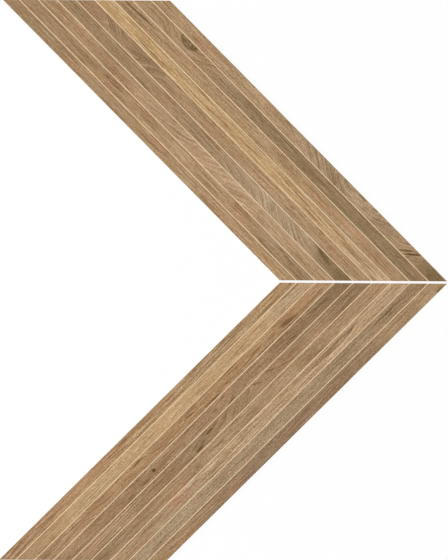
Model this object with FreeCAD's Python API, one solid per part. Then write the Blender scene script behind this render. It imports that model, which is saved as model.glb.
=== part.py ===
"""Chevron wall tile: two mirror-image arms of wood-effect porcelain that meet at a mitre joint.

Each arm is one pressed and fired slab, sawn to a parallelogram. Its face is scored into strips by
narrow grooves that run its whole length, and its back has shallow keyways for the wall adhesive.
The tile lies face up: +Z is out of the face, +X is the way the chevron points, and the mitre joint
lies on the X axis. The origin is at the middle of the tile's outline, on the plane that it rests on.
"""

import FreeCAD, Part
import math
import os

# Driving dimensions, in millimetres and degrees
ARM_WIDTH = 150.0  # across the strips
ARM_LENGTH = 500.0  # along a strip, from the mitre to the outer end
ARM_THICKNESS = 9.0  # over the ribs of the back
MITRE_ANGLE = 45.0  # between a strip and the mitre joint
MITRE_GAP = 3.0  # open joint between the two arms

STRIP_PITCH = 16.9  # from one scored groove to the next, counted from the outer edge
GROOVE_WIDTH = 1.0  # at the face
GROOVE_FLOOR = 0.7  # width at the bottom
GROOVE_DEPTH = 0.7

FACE_ARRIS = 0.4  # small bevel ground round the face

RIB_WIDTH = 6.0  # flat land between two keyways, which beds on the wall
KEYWAY_WIDTH = 11.0  # at the back face
KEYWAY_FLOOR = 9.5  # width at the bottom
KEYWAY_DEPTH = 0.8

# Sizes and places that follow from the driving dimensions
ANGLE = math.radians(MITRE_ANGLE)
MITRE_LENGTH = ARM_WIDTH / math.sin(ANGLE)
ARM_REACH_X = ARM_LENGTH * math.cos(ANGLE)
INNER_CORNER = FreeCAD.Vector((ARM_REACH_X - MITRE_LENGTH) / 2, MITRE_GAP / 2, 0)
UP = FreeCAD.Vector(0, 0, 1)
ALONG = FreeCAD.Vector(-math.cos(ANGLE), math.sin(ANGLE), 0)  # along a strip, away from the mitre
ACROSS = FreeCAD.Vector(math.sin(ANGLE), math.cos(ANGLE), 0)  # from the inner to the outer strip


def arm_outline():
    """The parallelogram that the slab is sawn to, on the plane that the arm rests on."""
    tip = INNER_CORNER + FreeCAD.Vector(MITRE_LENGTH, 0, 0)
    end = ALONG * ARM_LENGTH
    corners = [INNER_CORNER, tip, tip + end, INNER_CORNER + end]
    return Part.Face(Part.makePolygon(corners + corners[:1]))


def bevelled_slab():
    """The sawn slab with the arris of its face ground off."""
    slab = arm_outline().extrude(UP * ARM_THICKNESS)
    face_edges = [edge for edge in slab.Edges if edge.BoundBox.ZMin > ARM_THICKNESS / 2]
    return slab.makeChamfer(FACE_ARRIS, face_edges)


def channel(offset, mouth_height, mouth_width, floor_height, floor_width):
    """A straight cutter along a strip, offset from the inner edge, that runs out of both ends."""
    run_out = max(mouth_width, floor_width) / math.tan(ANGLE)
    start = INNER_CORNER + ACROSS * offset - ALONG * (offset / math.tan(ANGLE) + 2 * run_out)
    section = [
        start + ACROSS * (-mouth_width / 2) + UP * mouth_height,
        start + ACROSS * (mouth_width / 2) + UP * mouth_height,
        start + ACROSS * (floor_width / 2) + UP * floor_height,
        start + ACROSS * (-floor_width / 2) + UP * floor_height,
    ]
    profile = Part.Face(Part.makePolygon(section + section[:1]))
    return profile.extrude(ALONG * (ARM_LENGTH + 4 * run_out))


def face_grooves():
    """The scored lines between strips. The inner strip takes what is left, at least half a pitch."""
    count = int(ARM_WIDTH / STRIP_PITCH - 0.5)
    floor_height = ARM_THICKNESS - GROOVE_DEPTH
    return [
        channel(ARM_WIDTH - i * STRIP_PITCH, ARM_THICKNESS, GROOVE_WIDTH, floor_height, GROOVE_FLOOR)
        for i in range(1, count + 1)
    ]


def back_keyways():
    """As many keyways as fit with a full rib on each side of every one, centred on the arm."""
    pitch = KEYWAY_WIDTH + RIB_WIDTH
    count = int((ARM_WIDTH - RIB_WIDTH) / pitch)
    first = (ARM_WIDTH - (count - 1) * pitch) / 2
    return [
        channel(first + i * pitch, 0, KEYWAY_WIDTH, KEYWAY_DEPTH, KEYWAY_FLOOR)
        for i in range(count)
    ]


def upper_arm():
    return bevelled_slab().cut(face_grooves() + back_keyways()).Solids[0]


def lower_arm():
    """The other hand: the upper arm mirrored across the mitre joint."""
    return upper_arm().mirror(FreeCAD.Vector(0, 0, 0), FreeCAD.Vector(0, 1, 0))


os.makedirs("parts", exist_ok=True)
for name, shape in (("upper_arm", upper_arm()), ("lower_arm", lower_arm())):
    shape.exportStep(f"parts/{name}.step")
    box = shape.BoundBox
    print(name, "valid", shape.isValid(), "volume", round(shape.Volume, 1), "mm3,", len(shape.Faces), "faces")
    print("  x", round(box.XMin, 2), round(box.XMax, 2), "y", round(box.YMin, 2), round(box.YMax, 2),
          "z", round(box.ZMin, 2), round(box.ZMax, 2))
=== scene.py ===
import math

import bmesh
import bpy
from mathutils import Matrix, Vector, noise


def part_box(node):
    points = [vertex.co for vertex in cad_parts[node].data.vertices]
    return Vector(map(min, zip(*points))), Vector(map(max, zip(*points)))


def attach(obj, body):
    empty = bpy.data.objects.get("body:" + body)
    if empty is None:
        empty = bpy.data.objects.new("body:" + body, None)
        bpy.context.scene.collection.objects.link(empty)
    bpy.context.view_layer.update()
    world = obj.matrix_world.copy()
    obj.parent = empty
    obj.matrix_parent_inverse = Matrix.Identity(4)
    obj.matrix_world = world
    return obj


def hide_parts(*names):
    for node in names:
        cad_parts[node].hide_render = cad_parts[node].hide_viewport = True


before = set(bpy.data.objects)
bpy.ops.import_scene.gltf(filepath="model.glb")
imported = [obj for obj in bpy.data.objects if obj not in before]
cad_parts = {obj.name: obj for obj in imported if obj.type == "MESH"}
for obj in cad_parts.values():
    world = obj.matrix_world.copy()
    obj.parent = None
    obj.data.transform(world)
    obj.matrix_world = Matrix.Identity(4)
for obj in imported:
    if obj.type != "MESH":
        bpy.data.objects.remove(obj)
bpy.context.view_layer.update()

# The arms: two mirror-image slabs of porcelain stoneware, pressed from pale powder, printed and fired
# hard, then sawn to parallelograms that meet at an open mitre joint. Grooves scored along the face show
# the pale body between strips, and keyways along the back hold the wall adhesive.
MM = 0.001
MITRE_ANGLE = math.radians(45)
arm_low, arm_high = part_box("upper_arm")
ARM_LENGTH = (arm_high.y - arm_low.y) / math.sin(MITRE_ANGLE)
ARM_WIDTH = (arm_high.x - arm_low.x - ARM_LENGTH * math.cos(MITRE_ANGLE)) * math.sin(MITRE_ANGLE)
ARM_THICKNESS = arm_high.z - arm_low.z
HALF_JOINT = arm_low.y
INNER_CORNER_X = arm_high.x - ARM_WIDTH / math.sin(MITRE_ANGLE)

STRIP_PITCH = 16.9 * MM  # from one scored groove to the next, counted from the outer edge
STRIP_COUNT = 9
GROOVE_WIDTH = 1.0 * MM  # at the face
GROOVE_FLOOR = 0.7 * MM  # width at the bottom
GROOVE_DEPTH = 0.7 * MM
FACE_ARRIS = 0.4 * MM  # small bevel ground round the face
KEYWAY_COUNT = 8
KEYWAY_PITCH = 17.0 * MM
KEYWAY_WIDTH = 11.0 * MM  # at the back
KEYWAY_FLOOR = 9.5 * MM  # width at the bottom
KEYWAY_DEPTH = 0.8 * MM
TINY = 0.001 * MM  # tolerance of the cuts

ROW_COUNT = 250  # rows of face quads along an arm, about 2 mm each
COLUMN_COUNT = 26  # quads across each strip, about 0.6 mm each
FACING_UP = 0.5  # least upward part of a normal on a strip or on the arris
FLAT = 0.9  # the same on the flat of a strip
RELIEF = 0.14 * MM  # deepest pressed-in grain
PORE_LENGTH = 38 * MM
PORE_WIDTH = 1.7 * MM  # wider than a real pore, because the quads can't hold finer ones
PORE_STEEPNESS = 2.2  # how soon a pore reaches its full depth
PORE_STEP = 1.7  # through the noise from strip to strip, so that no two are alike
WANDER = 3 * MM  # how far a pore strays from straight
WANDER_LENGTH = 120 * MM
WANDER_STEP = 0.3  # through the noise from strip to strip
WANDER_LAYER = 2.0  # of the noise, in which the straying is read
UPPER = 1  # the hand of an arm is the sign of its y
LOWER = -1


def strip_start(number):
    """How far across the arm the strip's inner scored line lies. Strip 1 is the trimmed inner one."""
    return ARM_WIDTH - STRIP_PITCH * (STRIP_COUNT + 1 - number)


def strip_at(across):
    """The number of the strip that lies so far across the arm."""
    return min(STRIP_COUNT, STRIP_COUNT - int((ARM_WIDTH - across) / STRIP_PITCH))


def grain_depth(along, across):
    """How far the embossed wood grain is pressed in at a point of the face."""
    strip = strip_at(across)
    wander = WANDER * noise.noise(Vector((along / WANDER_LENGTH, WANDER_STEP * strip, WANDER_LAYER)))
    pore = noise.noise(Vector((along / PORE_LENGTH, (across + wander) / PORE_WIDTH, PORE_STEP * strip)))
    return RELIEF * min(1.0, max(0.0, PORE_STEEPNESS * pore))


def channel(bm, across, mouth, floor, is_mouth, level):
    """Cuts one side of the slab along both lips and both foot lines of a channel, and moves its floor to a
    level. is_mouth says which vertices are on that side."""
    for edge in (-mouth / 2, -floor / 2, floor / 2, mouth / 2):
        faces = [f for f in bm.faces if any(is_mouth(v) for v in f.verts)]
        edges = dict.fromkeys(e for f in faces for e in f.edges)
        verts = dict.fromkeys(v for f in faces for v in f.verts)
        bmesh.ops.bisect_plane(
            bm, geom=[*verts, *edges, *faces], dist=TINY,
            plane_co=(0, across + edge, 0), plane_no=(0, 1, 0),
        )
    for vertex in bm.verts:
        if abs(vertex.co.y - across) < floor / 2 + TINY and is_mouth(vertex):
            vertex.co.z = level


def is_printed(face):
    """A face of a strip, between two grooves, or of the arris round the strips."""
    return face.normal.z > FACING_UP and face.calc_center_median().z > ARM_THICKNESS - FACE_ARRIS


def is_land(face):
    """A face of the flat part of a strip."""
    return face.normal.z > FLAT and is_printed(face)


def sawn_slab():
    """The slab as a straight board, x along and y across it, with the arris of its face ground off."""
    bm = bmesh.new()
    bmesh.ops.create_cube(bm, size=1.0)
    bmesh.ops.translate(bm, vec=(0.5, 0.5, 0.5), verts=bm.verts)
    bmesh.ops.scale(bm, vec=(ARM_LENGTH, ARM_WIDTH, ARM_THICKNESS), verts=bm.verts)
    face_edges = [e for e in bm.edges if min(v.co.z for v in e.verts) > ARM_THICKNESS / 2]
    bmesh.ops.bevel(
        bm, geom=face_edges, offset=FACE_ARRIS, offset_type="OFFSET", affect="EDGES",
        segments=1, profile=0.5, material=-1,
    )
    return bm


def score_and_key(bm):
    """Scores the grooves along the face and presses the keyways into the back."""
    for number in range(2, STRIP_COUNT + 1):
        channel(
            bm, strip_start(number), GROOVE_WIDTH, GROOVE_FLOOR,
            lambda v: v.co.z > ARM_THICKNESS - FACE_ARRIS - TINY, ARM_THICKNESS - GROOVE_DEPTH,
        )
    first_keyway = (ARM_WIDTH - (KEYWAY_COUNT - 1) * KEYWAY_PITCH) / 2
    for i in range(KEYWAY_COUNT):
        channel(
            bm, first_keyway + i * KEYWAY_PITCH, KEYWAY_WIDTH, KEYWAY_FLOOR,
            lambda v: v.co.z < TINY, KEYWAY_DEPTH,
        )
    bm.normal_update()
    bmesh.ops.dissolve_degenerate(bm, dist=TINY, edges=bm.edges)


def divide_strips(bm):
    """Divides the strips into rows and columns fine enough to carry the grain."""
    long_edges = [
        e for e in bm.edges
        if abs(e.verts[0].co.y - e.verts[1].co.y) < TINY and e.calc_length() > ARM_LENGTH / 2
        and min(v.co.z for v in e.verts) > ARM_THICKNESS / 2
    ]
    bmesh.ops.subdivide_edges(bm, edges=long_edges, cuts=ROW_COUNT - 1)
    bm.normal_update()
    lands = [f for f in bm.faces if is_land(f)]
    cross_edges = dict.fromkeys(
        e for f in lands for e in f.edges
        if abs(e.verts[0].co.x - e.verts[1].co.x) < TINY and e.calc_length() > STRIP_PITCH / 4
    )
    bmesh.ops.subdivide_edges(bm, edges=list(cross_edges), cuts=COLUMN_COUNT - 1)
    bm.normal_update()


def press_grain(bm):
    """Gives each strip the number of its own print, and presses the grain into its flat part."""
    for face in bm.faces:
        if is_printed(face):
            face.material_index = strip_at(face.calc_center_median().y)
        face.smooth = is_land(face)
    shear = 1 / math.tan(MITRE_ANGLE)
    for vertex in dict.fromkeys(v for f in bm.faces if f.smooth for v in f.verts):
        vertex.co.z -= grain_depth(vertex.co.x - shear * vertex.co.y, vertex.co.y)


def pressed_arm(name, hand):
    """One arm: the finished board, slanted to its mitre and laid in its place."""
    bm = sawn_slab()
    score_and_key(bm)
    divide_strips(bm)
    press_grain(bm)
    to_frame = Matrix((
        (-math.cos(MITRE_ANGLE), 1 / math.sin(MITRE_ANGLE), 0, INNER_CORNER_X),
        (hand * math.sin(MITRE_ANGLE), 0, 0, hand * HALF_JOINT),
        (0, 0, 1, 0),
        (0, 0, 0, 1),
    ))
    bmesh.ops.transform(bm, matrix=to_frame, verts=bm.verts)
    bmesh.ops.recalc_face_normals(bm, faces=bm.faces)
    mesh = bpy.data.meshes.new(name)
    bm.to_mesh(mesh)
    bm.free()
    arm = bpy.data.objects.new(name, mesh)
    bpy.context.scene.collection.objects.link(arm)
    return arm


def linear(hex_colour):
    """An sRGB hex colour as the linear values that shaders take, fully opaque."""
    channels = [int(hex_colour[i:i + 2], 16) / 255 for i in (1, 3, 5)]
    return [c / 12.92 if c <= 0.04045 else ((c + 0.055) / 1.055) ** 2.4 for c in channels] + [1.0]


def add(tree, kind, inputs=None, **settings):
    """Adds a shader node with its settings. An input takes a value, or a socket to link from."""
    made = tree.nodes.new("ShaderNode" + kind)
    for setting, value in settings.items():
        setattr(made, setting, value)
    for socket, value in (inputs or {}).items():
        if isinstance(value, bpy.types.NodeSocket):
            tree.links.new(value, made.inputs[socket])
        else:
            made.inputs[socket].default_value = value
    return made


def new_material(name):
    """An empty material and its Principled shader, wired to the output."""
    material = bpy.data.materials.new(name)
    material.use_nodes = True
    tree = material.node_tree
    tree.nodes.clear()
    shader = add(tree, "BsdfPrincipled", {"IOR": 1.5})
    add(tree, "OutputMaterial", {"Surface": shader.outputs["BSDF"]})
    return material, tree, shader


def porcelain_body():
    """Unglazed porcelain as sawn and scored: pale cream and matt, with a faint grit and darker specks. The
    real grit is too fine to show, so it is drawn coarser."""
    material, tree, shader = new_material("porcelain_body")
    grit_size = 0.6 * MM
    grit_depth = 0.05 * MM
    speck_size = 2.5 * MM
    tones = {0.3: "#ecd5b4", 0.7: "#f8e7cb"}  # by the height of the speck noise
    place = add(tree, "TexCoord").outputs["Object"]
    grit = add(tree, "TexNoise", {"Vector": place, "Scale": 1 / grit_size, "Detail": 2.0})
    specks = add(tree, "TexNoise", {"Vector": place, "Scale": 1 / speck_size, "Detail": 3.0})
    colour = add(tree, "ValToRGB", {"Fac": specks.outputs["Fac"]})
    for stop, (position, tone) in zip(colour.color_ramp.elements, tones.items()):
        stop.position = position
        stop.color = linear(tone)
    tree.links.new(colour.outputs["Color"], shader.inputs["Base Color"])
    shader.inputs["Roughness"].default_value = 0.7
    bump = add(tree, "Bump", {"Height": grit.outputs["Fac"], "Distance": grit_depth, "Strength": 0.5})
    tree.links.new(bump.outputs["Normal"], shader.inputs["Normal"])
    return material


body_material = porcelain_body()
arms = {}
for node, hand in (("upper_arm", UPPER), ("lower_arm", LOWER)):
    arm = pressed_arm("printed_" + node, hand)
    arm.data.materials.append(body_material)
    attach(arm, "root")
    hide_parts(node)
    arms[hand] = arm

# The print: an ink-jet picture of oiled hardwood strips under a matt glaze, one board for each strip,
# so that tone and figure change at every groove. Places are in millimetres from the mitre along a
# strip and from its inner line across it.
TONES = {
    "cream": "#d2b28a",
    "sand": "#bc9b77",
    "honey": "#c09e71",
    "straw": "#b29877",
    "tan": "#ab8b66",
    "fawn": "#a68662",
    "clay": "#aa8560",
    "drab": "#9d805e",
    "brick": "#9e7d5b",
    "khaki": "#8e7553",
    "taupe": "#907559",
    "umber": "#8e7252",
    "moss": "#a58c6d",
    "olive": "#755f3a",
    "cocoa": "#7d5836",
    "bark": "#63481e",
    "char": "#563c0e",
    "rose": "#b08162",
    "rust": "#a77045",
}
TINTS = (("rose", 0.54, 0.8), ("moss", 0.46, 0.2))  # with the hue noise where each starts and is full
TINT_DEPTH = 0.5
TONE_DRIFT = 70  # how far, in mm, the tones stray along a board

# The usual length and width of each kind of streak, in mm. Real pores are a few tenths of a millimetre
# wide, too fine to show, so the narrow streaks are drawn 1.3 mm wide.
LONG_GRAIN = (55, 1.3)
BROAD_GRAIN = (130, 2.6)
DASHES = (9, 1.3)
FLECKS = (2.2, 1.3)
STRAYING = (90, 12)
HUE_PATCHES = (60, 8)
CLOUDS = (170, 40)

DASH_DEPTH = 0.17  # share by which each streak lightens or darkens the tone
CLOUD_DEPTH = 0.06
NOISE_LOW = 0.3  # most of the noise lies between these
NOISE_HIGH = 0.7
BRIGHTEST = 1.5  # most that all streaks together lighten a tone
RED_POWER = 0.8  # keeps dark grain redder
BLUE_POWER = 1.3  # and less blue, as stained pores are
RAGGEDNESS = 0.8  # how far, in mm, the dashes shift the edge of a mark
MARK_LOW = 0.4  # noise at which a mark breaks off, and at which it is strongest
MARK_HIGH = 0.6
MARK_PEAK = 0.4  # share by which it is stronger there
GLAZE_SPECULAR = 0.15  # low, so that dark grain stays deep
DARK_ROUGHNESS = 0.68  # of the darkest grain, and of the palest
PALE_ROUGHNESS = 0.5
FLECK_RELIEF = 0.08 * MM
BOARD_SEED = 7.3  # steps through the noise, so that no two boards are alike
HAND_SEED = 3.1
SEED_ALONG = 17.3
SEED_ACROSS = 5.7


def mark(at, size, tone, opacity=0.6, slope=0.0, soft=0.7, grain=0.8, broad=False):
    """A patch of another tone: its middle, half length and half width, in mm, and its slope in degrees.
    soft is how much of it is edge, and grain how far it breaks up into streaks, fine or broad ones."""
    return dict(
        at=at, size=size, tone=tone, opacity=opacity, slope=slope, soft=soft, grain=grain, broad=broad
    )


def streaks(tree, flow, size, seed, detail=2.0):
    """Noise drawn out along the grain into streaks of a usual length and width. The seed shifts it."""
    length, width = size
    stretched = add(tree, "Mapping", {
        "Vector": flow,
        "Scale": (1 / length, 1 / width, 0),
        "Location": (SEED_ALONG * seed, SEED_ACROSS * seed, 0),
    })
    drawn = add(tree, "TexNoise", {
        "Vector": stretched.outputs["Vector"], "Scale": 1.0, "Detail": detail,
    }, noise_dimensions="2D")
    return drawn.outputs["Fac"]


def moved_across(tree, flow, distance):
    """Coordinates with a distance added across the strip."""
    offset = add(tree, "CombineXYZ", {"Y": distance})
    return add(tree, "VectorMath", {0: flow, 1: offset.outputs["Vector"]}).outputs["Vector"]


def grain_flow(tree, place, along, seed, sway, bends):
    """Coordinates that follow the grain, which sways all along and drifts to one side at each bend."""
    straying = streaks(tree, place, STRAYING, seed)
    swayed = add(tree, "MapRange", {"Value": straying, "To Min": -sway, "To Max": sway})
    flow = moved_across(tree, place, swayed.outputs["Result"])
    for middle, half, drift in bends:
        turn = add(tree, "MapRange", {
            "Value": along, "From Min": middle - half, "From Max": middle + half, "To Max": drift,
        }, interpolation_type="SMOOTHSTEP")
        flow = moved_across(tree, flow, turn.outputs["Result"])
    return flow


def board_tones(tree, along, hue, tones):
    """The tones of a board, blended from the mitre to the outer end, with patches of the two tints."""
    drift = add(tree, "MapRange", {"Value": hue, "To Min": -TONE_DRIFT, "To Max": TONE_DRIFT})
    drifted = add(tree, "Math", {0: along, 1: drift.outputs["Result"]}, operation="ADD")
    share = add(tree, "Math", {0: drifted.outputs["Value"], 1: ARM_LENGTH / MM}, operation="DIVIDE")
    ramp = add(tree, "ValToRGB", {"Fac": share.outputs["Value"]})
    stops = ramp.color_ramp.elements
    for i, tone in enumerate(tones):
        position = i / (len(tones) - 1)
        stop = stops[i] if i < 2 else stops.new(position)
        stop.position = position
        stop.color = linear(TONES[tone])
    colour = ramp.outputs["Color"]
    for tint, low, high in TINTS:
        amount = add(tree, "MapRange", {
            "Value": hue, "From Min": low, "From Max": high, "To Max": TINT_DEPTH,
        })
        colour = add(tree, "Mix", {
            0: amount.outputs["Result"], 6: colour, 7: linear(TONES[tint]),
        }, data_type="RGBA").outputs[2]
    return colour


def with_marks(tree, colour, ragged, fine, broad, marks):
    """The colour with each mark laid over it in turn, broken up by the fine or the broad grain."""
    for m in marks:
        spot = add(tree, "Mapping", {
            "Vector": ragged,
            "Location": (*m["at"], 0),
            "Rotation": (0, 0, math.radians(m["slope"])),
            "Scale": (*m["size"], 1),
        }, vector_type="TEXTURE")
        fade = add(tree, "TexGradient", {"Vector": spot.outputs["Vector"]}, gradient_type="SPHERICAL")
        mask = add(tree, "MapRange", {
            "Value": fade.outputs["Fac"], "From Max": m["soft"], "To Max": m["opacity"],
        }, interpolation_type="SMOOTHSTEP")
        texture = add(tree, "MapRange", {
            "Value": broad if m["broad"] else fine, "From Min": MARK_LOW, "From Max": MARK_HIGH,
            "To Min": 1 - m["grain"], "To Max": 1 + MARK_PEAK * m["grain"],
        })
        amount = add(tree, "Math", {
            0: mask.outputs["Result"], 1: texture.outputs["Result"],
        }, operation="MULTIPLY", use_clamp=True)
        colour = add(tree, "Mix", {
            0: amount.outputs["Value"], 6: colour, 7: linear(TONES[m["tone"]]),
        }, data_type="RGBA").outputs[2]
    return colour


def grain_shade(tree, layers):
    """What the grain multiplies a colour by. A layer is a kind of streak and its depth."""
    level = 1.0
    for texture, depth in layers:
        swing = add(tree, "MapRange", {
            "Value": texture, "From Min": NOISE_LOW, "From Max": NOISE_HIGH,
            "To Min": 1 - depth, "To Max": 1 + depth,
        })
        product = add(tree, "Math", {0: level, 1: swing.outputs["Result"]}, operation="MULTIPLY")
        level = product.outputs["Value"]
    level = add(tree, "Math", {0: level, 1: BRIGHTEST}, operation="MINIMUM").outputs["Value"]
    red = add(tree, "Math", {0: level, 1: RED_POWER}, operation="POWER")
    blue = add(tree, "Math", {0: level, 1: BLUE_POWER}, operation="POWER")
    shade = add(tree, "CombineXYZ", {"X": red.outputs["Value"], "Y": level, "Z": blue.outputs["Value"]})
    return shade.outputs["Vector"]


def wood_print(name, hand, number, tones, marks=(), bends=(), sway=3.0, lines=0.32, specks=0.24):
    """Matt-glazed porcelain with the print of one strip: warm streaked wood with little gloss. tones run
    from the mitre to the outer end. sway is how far, in mm, the grain strays from straight, and lines and
    specks are the depths of its long grain and its flecks. A bend is a stretch where the grain drifts
    across the strip: its middle, its half length and its drift, which is positive to the inner edge."""
    material, tree, shader = new_material(name)
    shader.inputs["Specular IOR Level"].default_value = GLAZE_SPECULAR
    seed = BOARD_SEED * number + HAND_SEED * hand
    start_x = INNER_CORNER_X + strip_start(number) / math.sin(MITRE_ANGLE)
    place = add(tree, "Mapping", {
        "Vector": add(tree, "TexCoord").outputs["Object"],
        "Location": (start_x, hand * HALF_JOINT, ARM_THICKNESS),
        "Rotation": (0, 0, hand * (math.pi - MITRE_ANGLE)),
        "Scale": (MM, -hand * MM, MM),
    }, vector_type="TEXTURE").outputs["Vector"]
    along = add(tree, "SeparateXYZ", {"Vector": place}).outputs["X"]
    flow = grain_flow(tree, place, along, seed, sway, bends)
    fine = streaks(tree, flow, LONG_GRAIN, seed + 1)
    broad = streaks(tree, flow, BROAD_GRAIN, seed + 2)
    dashes = streaks(tree, flow, DASHES, seed + 3)
    flecks = streaks(tree, flow, FLECKS, seed + 4, detail=1.0)
    hue = streaks(tree, place, HUE_PATCHES, seed + 5)
    clouds = streaks(tree, place, CLOUDS, seed + 6)

    jitter = add(tree, "MapRange", {"Value": dashes, "To Min": -RAGGEDNESS, "To Max": RAGGEDNESS})
    ragged = moved_across(tree, place, jitter.outputs["Result"])
    colour = board_tones(tree, along, hue, tones)
    colour = with_marks(tree, colour, ragged, fine, broad, marks)
    shade = grain_shade(tree, [
        (fine, lines), (clouds, CLOUD_DEPTH), (dashes, DASH_DEPTH), (flecks, specks),
    ])
    shaded = add(tree, "VectorMath", {0: colour, 1: shade}, operation="MULTIPLY")
    tree.links.new(shaded.outputs["Vector"], shader.inputs["Base Color"])
    gloss = add(tree, "MapRange", {"Value": fine, "To Min": DARK_ROUGHNESS, "To Max": PALE_ROUGHNESS})
    tree.links.new(gloss.outputs["Result"], shader.inputs["Roughness"])
    bump = add(tree, "Bump", {"Height": flecks, "Distance": FLECK_RELIEF, "Strength": 0.5})
    tree.links.new(bump.outputs["Normal"], shader.inputs["Normal"])
    return material


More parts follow.
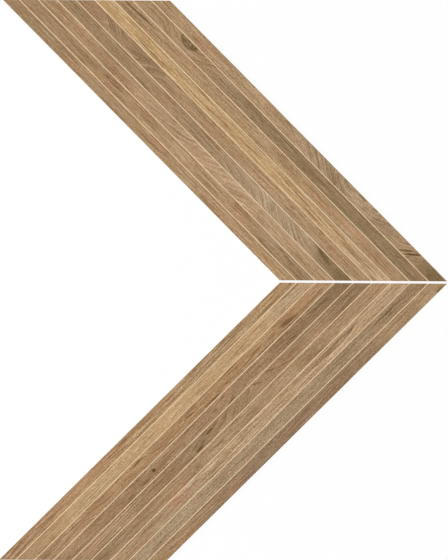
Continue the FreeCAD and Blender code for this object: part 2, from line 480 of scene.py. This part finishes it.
# The upper arm's boards: nine strips of hardwood, printed under the glaze, from the trimmed inner one to
# the outer one. The grain fans out where it bends, in the third, fourth, fifth, eighth and ninth. The sixth
# is pale with thin dark lines, and the eighth has a large knot at its outer line.
upper_strips = [
    dict(tones=["tan", "tan", "fawn", "drab", "drab"], marks=[
        mark((120, 9), (100, 9), "sand", 0.35),
        mark((20, 9), (45, 2.5), "honey"),
        mark((30, 6), (50, 1.5), "honey", 0.5),
        mark((285, 8), (25, 4), "drab", 0.5),
        mark((385, 8), (40, 5), "rose", 0.4),
        mark((420, 4.5), (45, 2.5), "umber"),
        mark((470, 5), (22, 3), "umber", 0.5),
    ]),
    dict(tones=["drab", "tan", "tan", "fawn", "drab"], marks=[
        mark((190, 9), (110, 10), "sand", 0.35),
        mark((10, 9), (50, 14), "drab", 0.8, grain=0.3),
        mark((20, 10.5), (16, 1.6), "bark", 0.5),
        mark((40, 13), (14, 1.5), "bark", 0.45),
        mark((70, 3.5), (16, 1.8), "bark", 0.45),
        mark((408, 10), (28, 3.5), "umber", 0.8),
        mark((342, 12.4), (30, 3.2), "umber", 0.5, grain=0.4),
        mark((339, 10.0), (27, 1.4), "cocoa", 1.0, soft=0.5, grain=0.15),
        mark((378, 9.9), (26, 1.0), "cocoa", 0.8, grain=0.3),
        mark((340, 13.1), (22, 1.2), "cocoa", 0.9, grain=0.2),
        mark((338, 15.2), (26, 1.0), "cocoa", 0.8, grain=0.3),
        mark((330, 6), (30, 1.3), "umber", 0.6),
    ]),
    dict(tones=["tan", "sand", "sand", "fawn", "fawn"], bends=[(185, 70, 45), (265, 60, 18)], marks=[
        mark((190, 9), (65, 14), "sand", 0.8, grain=0.3),
        mark((110, 9), (40, 12), "umber", 0.2, broad=True),
        mark((175, 8), (60, 16), "umber", 0.3, broad=True),
        mark((255, 8), (65, 14), "umber", 0.45, broad=True),
        mark((305, 5), (24, 4.5), "umber", 0.5, grain=0.3),
        mark((400, 9), (60, 6), "rose", 0.3),
    ]),
    dict(tones=["straw", "straw", "drab", "drab", "drab"], bends=[(105, 55, -50), (175, 50, -18)], marks=[
        mark((130, 9), (75, 18), "straw", 0.7, grain=0.2),
        mark((90, 9), (46, 16), "umber", 0.2, broad=True),
        mark((122, 11), (12, 5), "umber", 0.6, slope=45),
        mark((170, 9), (50, 14), "umber", 0.2, broad=True),
        mark((0, 9), (62, 26), "khaki", 1.0, soft=0.5, grain=0.3),
        mark((-6, 10), (22, 14), "olive", 0.7, grain=0.3),
        mark((32, 13), (27, 5.0), "olive", 1.0, slope=12, grain=0.3),
        mark((36, 13.5), (16, 2.4), "bark", 0.6, slope=12, grain=0.4),
        mark((50, 15), (14, 1.8), "umber", 0.7),
        mark((230, 8), (35, 1.6), "umber", 0.8),
        mark((250, 11), (25, 1.2), "bark", 0.25, slope=6),
        mark((440, 9), (90, 11), "khaki", 0.3),
        mark((400, 8), (60, 1.3), "umber", 0.6),
    ]),
    dict(tones=["tan", "tan", "fawn", "drab"], bends=[(372, 30, 24), (440, 30, -20)], marks=[
        mark((150, 9), (60, 10), "sand", 0.35, grain=0.4),
        mark((14, 2.4), (10, 1.5), "bark", 0.5),
        mark((71, 15), (7, 2.2), "bark", 0.5),
        mark((332, 15.2), (24, 1.6), "bark", 0.5, grain=0.4),
        mark((120, 10), (6, 1.6), "bark", 0.4),
        mark((365, 8), (48, 14), "umber", 0.7, broad=True),
        mark((450, 8), (38, 14), "umber", 0.5, broad=True),
        mark((398, 12), (18, 7), "umber", 0.7, grain=0.3),
        mark((402, 8), (5, 8), "umber", 0.7),
        mark((452, 8), (14, 1.6), "sand", 0.4, slope=-35, grain=0.2),
    ]),
    dict(tones=["sand", "honey", "honey", "honey"], sway=0.8, lines=0.42, marks=[
        mark((420, 10), (80, 5), "honey", 0.8),
        mark((120, 12.5), (110, 1.4), "sand", 0.8),
        mark((300, 10.5), (90, 1.4), "sand", 0.7),
        mark((14, 9), (16, 1.0), "cocoa", 0.7, grain=0.3),
        mark((45, 7.2), (26, 1.0), "cocoa", 0.8, slope=3, grain=0.2),
        mark((75, 11.6), (32, 1.0), "cocoa", 0.8, grain=0.3),
        mark((122, 4.5), (30, 1.0), "umber", 0.8, grain=0.3),
        mark((132, 9.6), (42, 1.0), "cocoa", 0.7, grain=0.2),
        mark((162, 10.2), (8, 1.1), "bark", 0.7, grain=0.2),
        mark((228, 8.6), (34, 1.0), "cocoa", 0.8, slope=-3, grain=0.2),
        mark((278, 6.8), (38, 1.0), "cocoa", 0.9, grain=0.2),
        mark((318, 15), (20, 1.0), "cocoa", 0.8, grain=0.4),
        mark((388, 5.4), (38, 1.0), "cocoa", 0.9, slope=-2.5, grain=0.2),
        mark((413, 4.4), (16, 1.0), "cocoa", 0.9, grain=0.2),
        mark((467, 5), (16, 1.0), "cocoa", 0.6),
        mark((476, 12.6), (12, 1.2), "umber", 0.8),
        mark((210, 13), (60, 1.3), "drab", 0.7),
    ]),
    dict(tones=["tan", "tan", "tan", "fawn"], marks=[
        mark((65, 11), (16, 3), "rose", 0.5),
        mark((120, 8), (50, 5), "rose", 0.3),
        mark((250, 9), (55, 9), "sand", 0.35),
        mark((470, 6), (32, 9), "drab", 0.8, grain=0.5),
        mark((428, 8.8), (14, 1.0), "umber"),
        mark((445, 12), (16, 1.0), "bark", 0.7, slope=-2, grain=0.3),
        mark((458, 12.7), (12, 1.0), "bark", grain=0.3),
        mark((464, 10.9), (32, 1.1), "char", 0.95, slope=-2.6, soft=0.6, grain=0.2),
        mark((481, 10.1), (16, 1.1), "bark", 0.9, slope=-2.6, grain=0.3),
    ]),
    dict(tones=["khaki", "khaki", "khaki", "drab", "tan"], bends=[(378, 24, 16), (440, 20, -14)], marks=[
        mark((158, 5), (12, 4), "tan", 0.4),
        mark((378, 9), (26, 14), "tan", 0.9, grain=0.3),
        mark((375, 9), (24, 16), "umber", 0.5, broad=True),
        mark((455, 8), (35, 12), "fawn", 0.7, grain=0.2),
        mark((388, 9), (12, 5), "clay", 0.9),
        mark((430, 9), (9, 5), "clay", 0.9),
        mark((411, 16.5), (15.5, 11), "olive", 1.0, soft=0.15, grain=0.0),
        mark((412, 17), (13, 8.8), "khaki", 1.0, soft=0.2, grain=0.2),
        mark((405, 13.5), (3, 1.5), "bark", 1.0, slope=40, grain=0.0),
        mark((417, 12.5), (4, 1.5), "bark", 1.0, slope=-15, grain=0.0),
        mark((412, 15), (3, 1.5), "bark", 0.9, grain=0.0),
    ]),
    dict(tones=["drab", "straw", "tan", "tan"], bends=[
        (42, 22, 24), (95, 25, 14), (140, 20, 4), (195, 45, -48),
    ], marks=[
        mark((180, 8), (75, 18), "straw", 0.9, grain=0.2),
        mark((90, 8), (34, 14), "umber", broad=True),
        mark((165, 8), (28, 16), "umber", 0.7, broad=True),
        mark((205, 8), (40, 16), "umber", broad=True),
        mark((122, 6), (6, 4), "umber"),
        mark((-2, 8), (34, 24), "khaki", 1.0, soft=0.5, grain=0.2),
        mark((-2, 9), (20, 10), "olive", 0.7, grain=0.4),
        mark((38.5, 9), (14, 1.8), "bark", 1.0, slope=-41, soft=0.5, grain=0.1),
        mark((46.5, 8), (13, 1.6), "bark", 0.9, slope=-38, soft=0.5, grain=0.2),
        mark((134, 15), (12, 2.6), "bark", 0.6),
        mark((225, 10), (24, 1.6), "umber", 0.6, slope=32),
        mark((260, 12.5), (12, 1.6), "umber", 0.9, slope=20),
        mark((269, 14.6), (9, 1.5), "bark"),
    ]),
]
for number, strip in enumerate(upper_strips, start=1):
    board_print = wood_print(f"matt_glazed_porcelain_upper_{number}", UPPER, number, **strip)
    arms[UPPER].data.materials.append(board_print)

# The lower arm's boards: nine more strips of hardwood, printed in the same way and listed in the same
# order. Most are straighter. The fourth has a small round knot, the fifth a fanned stretch with dark
# flecks, and the fifth and seventh have pale streaks.
lower_strips = [
    dict(tones=["tan", "tan", "clay", "clay"], lines=0.4, specks=0.26, marks=[
        mark((60, 9), (65, 9), "sand", 0.4, grain=0.3),
        mark((15, 9), (30, 7), "honey", 0.5),
        mark((280, 10.5), (60, 3), "honey", 0.5),
        mark((72, 6.6), (40, 1.0), "cocoa", 0.35, grain=0.3),
        mark((100, 15.2), (18, 1.0), "cocoa", 0.4, grain=0.3),
        mark((103, 5), (8, 1.3), "bark", 0.6, grain=0.3),
        mark((130, 9.6), (30, 1.1), "rust", 0.7, slope=3),
        mark((150, 10.8), (30, 1.0), "cocoa", 0.45, slope=1, grain=0.3),
        mark((203, 8.4), (26, 1.1), "cocoa", 0.9, grain=0.2),
        mark((205, 6.8), (22, 1.0), "rust"),
        mark((200, 14), (40, 1.0), "drab", 0.4),
        mark((242, 8), (12, 1.0), "cocoa", 0.7, grain=0.3),
        mark((283, 6), (22, 1.2), "cocoa", 1.0, slope=-1, grain=0.2),
        mark((335, 8), (34, 1.2), "drab", 0.4),
        mark((420, 8), (55, 6), "rose", 0.2),
        mark((450, 9), (60, 10), "moss", 0.35, grain=0.3),
        mark((455, 13), (24, 2.4), "umber", 0.7),
    ]),
    dict(tones=["sand", "honey", "honey", "fawn"], lines=0.25, specks=0.2, marks=[
        mark((220, 9), (200, 11), "sand", 0.5, grain=0.3),
        mark((350, 9), (110, 12), "straw", 0.35, grain=0.3),
        mark((20, 8), (45, 9), "straw", 0.7, grain=0.3),
        mark((16, 2.3), (28, 1.3), "cocoa", 0.8, grain=0.3),
        mark((36, 13), (6, 2), "umber", 0.6),
        mark((75, 6.2), (24, 1.4), "umber", 0.8, grain=0.5),
        mark((112, 9.5), (28, 1.5), "umber", 0.9, slope=4, grain=0.4),
        mark((425, 4), (22, 1.6), "rust", 0.5),
        mark((470, 10), (35, 7), "fawn"),
    ]),
    dict(tones=["clay", "clay", "clay", "brick"], lines=0.4, bends=[(310, 40, 14), (405, 25, 9)], marks=[
        mark((18, 13.2), (24, 1.2), "bark", 0.8, grain=0.3),
        mark((60, 9.8), (18, 3.2), "bark", 0.9, slope=-5, grain=0.5),
        mark((58, 12), (22, 1.2), "bark", 0.9, grain=0.2),
        mark((62, 13.9), (16, 1.0), "sand", 0.7, grain=0.2),
        mark((63, 15.6), (14, 1.0), "bark", 0.9, grain=0.2),
        mark((88, 9.5), (12, 3), "umber", 0.8),
        mark((115, 8.6), (18, 1.3), "cocoa", 0.9, slope=2, grain=0.3),
        mark((135, 11), (14, 1.0), "cocoa", 0.8, grain=0.3),
        mark((175, 10.2), (20, 1.0), "bark", 0.45, grain=0.3),
        mark((196, 14.3), (26, 1.2), "bark", 0.9, grain=0.2),
        mark((205, 9.3), (14, 1.3), "cocoa", 0.7),
        mark((228, 4), (16, 2), "bark"),
        mark((231, 7.8), (14, 1.2), "bark", 0.9, slope=-4, grain=0.2),
        mark((290, 10), (17, 2.0), "cocoa", 0.8, slope=-14),
        mark((300, 13), (18, 2), "rose", 0.6),
        mark((321, 4), (16, 1.9), "bark", 0.8, grain=0.5),
        mark((410, 6), (17, 1.3), "cocoa", 0.5, slope=-14),
        mark((483, 6), (9, 4), "umber", 0.8),
    ]),
    dict(tones=["umber", "brick", "brick", "brick"], lines=0.34, specks=0.3, bends=[
        (75, 30, 8), (205, 25, -7),
    ], marks=[
        mark((200, 9), (90, 10), "umber", 0.25, grain=0.4),
        mark((25, 7), (16, 5), "umber", 0.5),
        mark((23, 8.4), (5, 2), "bark"),
        mark((85, 12.3), (14, 1.2), "bark", 0.7, slope=-12),
        mark((90, 14), (20, 1.1), "bark", 0.5),
        mark((197, 14.6), (10, 1.1), "bark", 0.8, slope=8),
        mark((203, 4.2), (9, 1.5), "bark"),
        mark((222, 9.2), (8, 1.8), "bark", 0.7),
        mark((440, 9), (40, 4), "tan", 0.6),
        mark((347, 12), (14, 1.1), "bark", 0.8, grain=0.3),
        mark((373, 12.6), (12, 1.0), "bark", 0.8, grain=0.3),
        mark((336, 8.7), (6, 1.1), "bark", 0.5, grain=0.4),
        mark((329, 8.6), (4.5, 3.5), "bark", 0.3, grain=0.3),
        mark((329, 8.6), (2.8, 2.4), "char", 1.0, soft=0.3, grain=0.0),
    ]),
    dict(tones=["umber", "brick", "drab", "umber", "drab"], bends=[
        (150, 35, 16), (205, 40, -40), (280, 40, -10),
    ], marks=[
        mark((60, 9), (60, 10), "tan", 0.25, grain=0.4),
        mark((200, 9), (38, 16), "tan", 0.5, broad=True),
        mark((205, 9), (44, 14), "bark", 0.22, broad=True),
        mark((115, 7), (18, 4), "umber", 0.7, broad=True),
        mark((152, 5), (11, 3.0), "bark", 0.5, slope=-20),
        mark((176, 5), (11, 2.2), "bark", 0.6, slope=-25),
        mark((310, 9), (50, 12), "umber", 0.45, grain=0.4),
        mark((280, 7), (30, 7), "umber", 0.5, grain=0.3),
        mark((355, 9), (60, 10), "clay", 0.4, grain=0.4),
        mark((262, 6.0), (9, 1.2), "char", 1.0, slope=4, soft=0.5, grain=0.1),
        mark((252, 4.2), (13, 1.0), "bark", 0.6, slope=3, grain=0.3),
        mark((268, 2.6), (9, 1.0), "bark", 0.7, grain=0.3),
        mark((276, 9.8), (15, 1.0), "bark", 0.6, slope=4, grain=0.3),
        mark((288, 8.4), (8, 1.0), "bark", 0.5, slope=8, grain=0.3),
        mark((285, 13.2), (10, 1.3), "char", 1.0, slope=2, soft=0.5, grain=0.1),
        mark((271, 14.9), (12, 1.0), "bark", 0.6, grain=0.3),
        mark((303, 14.6), (14, 1.0), "bark", 0.6, grain=0.3),
        mark((435, 7), (85, 1.3), "sand", 1.0, slope=1.5, grain=0.1),
        mark((435, 10.5), (85, 1.3), "sand", 1.0, slope=1.0, grain=0.1),
        mark((440, 13.5), (75, 1.4), "sand", 0.9, grain=0.2),
        mark((430, 4), (70, 1.4), "sand", 0.8, slope=1.5, grain=0.2),
        mark((430, 8.8), (85, 1.2), "umber", 0.9, slope=1.3, grain=0.2),
        mark((430, 12.1), (85, 1.2), "umber", 0.9, slope=0.6, grain=0.2),
        mark((470, 9), (36, 8), "rose", 0.3),
    ]),
    dict(tones=["fawn", "tan", "tan", "fawn", "umber"], marks=[
        mark((80, 9), (70, 7), "drab", 0.4),
        mark((240, 9), (180, 11), "moss", 0.35, grain=0.4),
        mark((250, 2.8), (16, 1.4), "bark", 0.6),
        mark((280, 9.3), (12, 1.5), "bark", 0.6),
        mark((320, 10), (7, 3), "bark", 0.45),
        mark((365, 15), (22, 1.5), "rust", 0.7),
        mark((425, 9), (30, 1.4), "umber", 0.7),
    ]),
    dict(tones=["sand", "sand", "straw", "fawn"], sway=1.5, lines=0.42, specks=0.28, bends=[
        (75, 25, -5),
    ], marks=[
        mark((190, 12), (50, 3.4), "honey", 0.6),
        mark((10, 9), (45, 9), "straw", grain=0.3),
        mark((20, 9), (60, 10), "fawn", 0.25, grain=0.3),
        mark((290, 9), (75, 11), "tan", 0.7, grain=0.3),
        mark((82, 14.8), (12, 1.3), "umber", 0.7),
        mark((102, 5.2), (50, 3.4), "umber", 1.0, slope=1, grain=0.3),
        mark((142, 5), (28, 2.2), "umber", grain=0.4),
        mark((78, 6.4), (15, 1.1), "bark", 0.9, slope=9, grain=0.2),
        mark((128, 7.9), (42, 1.0), "cocoa", 0.9, slope=-1, grain=0.3),
        mark((170, 3), (45, 1.4), "umber", 0.8),
        mark((195, 6), (40, 1.0), "cocoa", grain=0.5),
        mark((226, 4.2), (24, 1.6), "umber", 0.8, slope=2),
        mark((262, 8.2), (34, 1.0), "cocoa", 0.6, slope=1, grain=0.4),
        mark((322, 11.8), (30, 1.0), "cocoa", 0.5, slope=1, grain=0.4),
        mark((286, 3.8), (17, 1.2), "cream", 0.8, grain=0.2),
        mark((322, 5.0), (22, 1.2), "cream", 0.9, slope=1, grain=0.2),
        mark((322, 10), (26, 1.1), "sand", 0.9, grain=0.2),
        mark((284, 12.2), (24, 1.2), "cream", 0.8, grain=0.2),
        mark((314, 13.6), (24, 1.4), "cream", 1.0, soft=0.6, grain=0.1),
        mark((375, 8), (40, 6), "rose", 0.5),
        mark((450, 9), (30, 7), "fawn"),
    ]),
    dict(tones=["drab", "moss", "moss", "moss", "moss"], specks=0.32, marks=[
        mark((25, 10), (45, 9), "khaki", 0.6, grain=0.3),
        mark((250, 9), (50, 10), "straw", 0.4, grain=0.3),
        mark((420, 9), (50, 6), "straw", 0.4),
        mark((30, 2.8), (18, 1.4), "umber", 0.8),
        mark((45, 6.4), (50, 2.6), "umber", 1.0, grain=0.4),
        mark((46, 6.9), (24, 1.3), "bark", 0.7, grain=0.4),
        mark((125, 5.6), (62, 1.6), "umber", 1.0, grain=0.5),
        mark((205, 3.2), (24, 1.5), "umber", 0.8),
        mark((455, 11.4), (26, 1.7), "bark", 0.6, slope=4),
    ]),
    dict(tones=["tan", "taupe", "taupe", "fawn"], specks=0.28, marks=[
        mark((0, 5), (12, 6), "straw", 0.5),
        mark((70, 8), (40, 10), "tan", 0.7, grain=0.3),
        mark((40, 10), (20, 4), "drab", 0.7),
        mark((-6, 15), (9, 3), "bark", 0.5),
        mark((180, 9), (70, 10), "drab", 0.5, grain=0.4),
        mark((250, 15.5), (110, 1.5), "rust", 0.35),
        mark((122, 14.5), (16, 2.4), "tan", 0.7, grain=0.3),
        mark((440, 15), (60, 2.0), "rust", 0.3),
        mark((430, 7), (70, 6), "tan", 0.6),
    ]),
]
for number, strip in enumerate(lower_strips, start=1):
    board_print = wood_print(f"matt_glazed_porcelain_lower_{number}", LOWER, number, **strip)
    arms[LOWER].data.materials.append(board_print)

# The floor: a large sheet of matt white paper under the tile. It shows almost white to the camera, keeps a
# faint shadow, and throws light back on the tile's sides.
FLOOR_SIZE = 8.0
FLOOR_DROP = 0.05 * MM  # keeps the floor clear of the ribs that rest on it
SHOWN_WHITE = 0.92  # share of the floor's own white, the rest being lit and shaded


def seen_directly(tree):
    """1 for rays from the camera and for mirrored or transmitted ones, 0 for those that carry light."""
    paths = add(tree, "LightPath").outputs
    mirrored = add(tree, "Math", {
        0: paths["Is Camera Ray"], 1: paths["Is Glossy Ray"],
    }, operation="MAXIMUM")
    seen = add(tree, "Math", {
        0: mirrored.outputs["Value"], 1: paths["Is Transmission Ray"],
    }, operation="MAXIMUM")
    return seen.outputs["Value"]


bm = bmesh.new()
bmesh.ops.create_grid(bm, x_segments=1, y_segments=1, size=FLOOR_SIZE / 2)
bmesh.ops.translate(bm, vec=(0, 0, -FLOOR_DROP), verts=bm.verts)
floor_mesh = bpy.data.meshes.new("floor")
bm.to_mesh(floor_mesh)
bm.free()
floor = bpy.data.objects.new("floor", floor_mesh)
bpy.context.scene.collection.objects.link(floor)
# Matt white paper: an even white with no gloss, a little greyer beside the tile.
floor_material = bpy.data.materials.new("matt_white_paper")
floor_material.use_nodes = True
tree = floor_material.node_tree
tree.nodes.clear()
share = add(tree, "Math", {0: seen_directly(tree), 1: SHOWN_WHITE}, operation="MULTIPLY")
matt = add(tree, "BsdfDiffuse", {"Color": linear("#f9f9f9")})
white = add(tree, "Emission", {"Color": linear("#ffffff"), "Strength": 1.0})
blend = add(tree, "MixShader", {
    0: share.outputs["Value"], 1: matt.outputs["BSDF"], 2: white.outputs["Emission"],
})
add(tree, "OutputMaterial", {"Surface": blend.outputs["Shader"]})
floor.data.materials.append(floor_material)

# The light: an even white sky and one large soft lamp, above the tile and to its left. Its level is plain,
# so that a colour renders about as it is written, and the sky shows pure white where the camera sees it.
SKY_LEVEL = 0.69
LAMP_POWER = 30.0
LAMP_SIZE = 1.6
LAMP_PLACE = (-1.6, 0, 2.2)
world = bpy.data.worlds.new("even_sky")
bpy.context.scene.world = world
world.use_nodes = True
world.node_tree.nodes.clear()
sky = add(world.node_tree, "Background", {"Color": linear("#ffffff"), "Strength": SKY_LEVEL})
bright = add(world.node_tree, "Background", {"Color": linear("#ffffff"), "Strength": 1.0})
seen_sky = add(world.node_tree, "MixShader", {
    0: seen_directly(world.node_tree), 1: sky.outputs["Background"], 2: bright.outputs["Background"],
})
add(world.node_tree, "OutputWorld", {"Surface": seen_sky.outputs["Shader"]})
lamp_data = bpy.data.lights.new("soft_lamp", "AREA")
lamp_data.size = LAMP_SIZE
lamp_data.energy = LAMP_POWER
lamp = bpy.data.objects.new("soft_lamp", lamp_data)
lamp.location = LAMP_PLACE
lamp.rotation_euler = (Vector((0, 0, 0)) - lamp.location).to_track_quat("-Z", "Y").to_euler()
bpy.context.scene.collection.objects.link(lamp)

# The camera: a long lens straight above, a little off the middle and a little turned, with the face
# filling the picture.
CAMERA_SHIFT = 1.4 * MM
CAMERA_ROLL = math.radians(0.37)
SENSOR = 36.0
LENS = 200.0
FRAME_HEIGHT = 709.8 * MM  # of the face plane, over the picture's 560 pixels
CLIP_END = 50.0
camera_data = bpy.data.cameras.new("camera")
camera_data.sensor_width = SENSOR
camera_data.lens = LENS
camera_data.clip_end = CLIP_END
camera = bpy.data.objects.new("camera", camera_data)
camera.location = (0, CAMERA_SHIFT, ARM_THICKNESS + FRAME_HEIGHT * LENS / SENSOR)
camera.rotation_euler = (0, 0, CAMERA_ROLL)
bpy.context.scene.collection.objects.link(camera)
bpy.context.scene.camera = camera
bpy.context.scene.view_settings.view_transform = "Standard"

bpy.context.view_layer.update()
